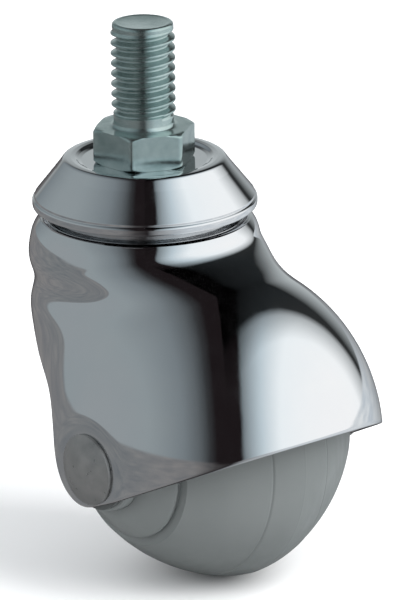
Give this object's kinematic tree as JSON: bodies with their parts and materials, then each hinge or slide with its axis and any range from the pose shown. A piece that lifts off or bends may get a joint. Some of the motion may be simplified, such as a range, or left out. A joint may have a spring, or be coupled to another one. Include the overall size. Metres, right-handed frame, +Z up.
{
  "type": "chair caster",
  "caption": "Hooded swivel caster for a chair: a ball-shaped grey wheel under a chrome hood, on a threaded stem with a hexagon.",
  "frame": {"origin": "on the swivel axis at the hexagon's top face, where the chair leg seats", "axes": "+Z up along the threaded stem and swivel axis, +X in the trailing direction towards the wheel's axle, Y along the axle"},
  "size_m": [0.0683, 0.0595, 0.0954],
  "materials": {
    "chrome": "polished",
    "zinc_plate": "satin",
    "race_steel": "satin",
    "ball_steel": "polished",
    "rivet_steel": "satin",
    "grey_tyre": "satin",
    "grey_plastic": "satin",
    "bush_plastic": "satin"
  },
  "bodies": {
    "stem_assembly": {"threaded_stem": "zinc_plate", "bearing_cap": "chrome", "cap_race": "race_steel", "lower_cone": "race_steel", "kingpin_washer": "race_steel"},
    "upper_balls": {"upper_ball_01": "ball_steel", "upper_ball_02": "ball_steel", "upper_ball_03": "ball_steel", "upper_ball_04": "ball_steel", "upper_ball_05": "ball_steel", "upper_ball_06": "ball_steel", "upper_ball_07": "ball_steel", "upper_ball_08": "ball_steel", "upper_ball_09": "ball_steel", "upper_ball_10": "ball_steel", "upper_ball_11": "ball_steel", "upper_ball_12": "ball_steel", "upper_ball_13": "ball_steel", "upper_ball_14": "ball_steel", "upper_ball_15": "ball_steel", "upper_ball_16": "ball_steel", "upper_ball_17": "ball_steel"},
    "lower_balls": {"lower_ball_01": "ball_steel", "lower_ball_02": "ball_steel", "lower_ball_03": "ball_steel", "lower_ball_04": "ball_steel", "lower_ball_05": "ball_steel", "lower_ball_06": "ball_steel", "lower_ball_07": "ball_steel", "lower_ball_08": "ball_steel", "lower_ball_09": "ball_steel", "lower_ball_10": "ball_steel", "lower_ball_11": "ball_steel", "lower_ball_12": "ball_steel", "lower_ball_13": "ball_steel", "lower_ball_14": "ball_steel", "lower_ball_15": "ball_steel", "lower_ball_16": "ball_steel"},
    "swivel_head": {"hood": "chrome", "upper_race_ring": "race_steel", "lower_race": "race_steel", "axle_rivet": "rivet_steel", "rivet_washer": "rivet_steel", "near_thrust_washer": "bush_plastic", "far_thrust_washer": "bush_plastic"},
    "wheel": {"tyre": "grey_tyre", "wheel_core": "grey_plastic", "near_hub_disc": "grey_plastic", "far_hub_disc": "grey_plastic", "axle_bush": "bush_plastic"}
  },
  "joints": [
    {"name": "swivel", "type": "hinge", "parent": "stem_assembly", "child": "swivel_head", "pos_m": [0, 0, -0.0165], "axis": [0, 0, 1], "continuous": true},
    {"name": "wheel_spin", "type": "hinge", "parent": "swivel_head", "child": "wheel", "pos_m": [0.0174, 0, -0.0519], "axis": [0, 1, 0], "continuous": true},
    {"name": "upper_ball_ring", "type": "hinge", "parent": "stem_assembly", "child": "upper_balls", "pos_m": [0, 0, -0.0135], "axis": [0, 0, 1], "continuous": true},
    {"name": "lower_ball_ring", "type": "hinge", "parent": "stem_assembly", "child": "lower_balls", "pos_m": [0, 0, -0.0206], "axis": [0, 0, 1], "continuous": true}
  ],
  "couplings": [
    {"joint": "upper_ball_ring", "follows": "swivel", "ratio": 0.5},
    {"joint": "lower_ball_ring", "follows": "swivel", "ratio": 0.5}
  ]
}
